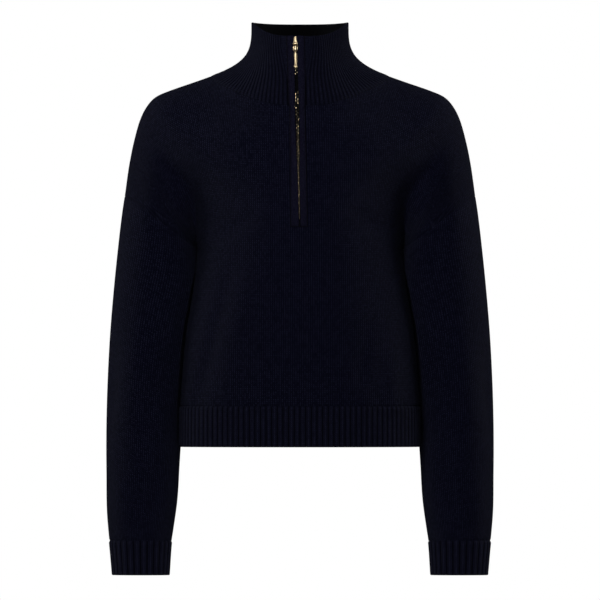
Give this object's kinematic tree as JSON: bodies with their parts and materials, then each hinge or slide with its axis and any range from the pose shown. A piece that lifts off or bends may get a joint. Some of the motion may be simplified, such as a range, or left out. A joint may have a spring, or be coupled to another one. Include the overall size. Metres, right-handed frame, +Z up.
{
  "type": "quarter zip sweater",
  "caption": "Cropped knitted pullover with a ribbed funnel collar, a short front zip, dropped shoulders and ribbed hem and cuffs, filled out as worn.",
  "frame": {"origin": "middle of the neck at the height of the neck's sides, where the wearer's shoulders carry it", "axes": "+Z up, the front faces -Y, +X is the viewer's right when looking at the front"},
  "size_m": [0.5044, 0.2259, 0.7185],
  "materials": {
    "knit": "fine navy stocking stitch",
    "rib": "navy rib knit",
    "band": "smooth navy band along the zip",
    "tape": "woven navy zip tape",
    "gold": "polished pale gold"
  },
  "bodies": {
    "garment": {"body_front": "knit", "body_back": "knit", "hem_front": "rib", "hem_back": "rib", "sleeve_left": "knit", "sleeve_right": "knit", "cuff_left": "rib", "cuff_right": "rib", "collar": "rib", "placket_left": "band", "placket_right": "band", "zip_tape_left": "tape", "zip_tape_right": "tape", "zip_chain": "gold", "zip_slider": "gold"},
    "pull_tab": {"zip_pull": "gold"}
  },
  "joints": [
    {"name": "pull_swing", "type": "hinge", "parent": "garment", "child": "pull_tab", "pos_m": [-0.0061, -0.07191, 0.03264], "axis": [-0.9964, 0.0735, -0.0415], "range_deg": [0, 150]}
  ]
}
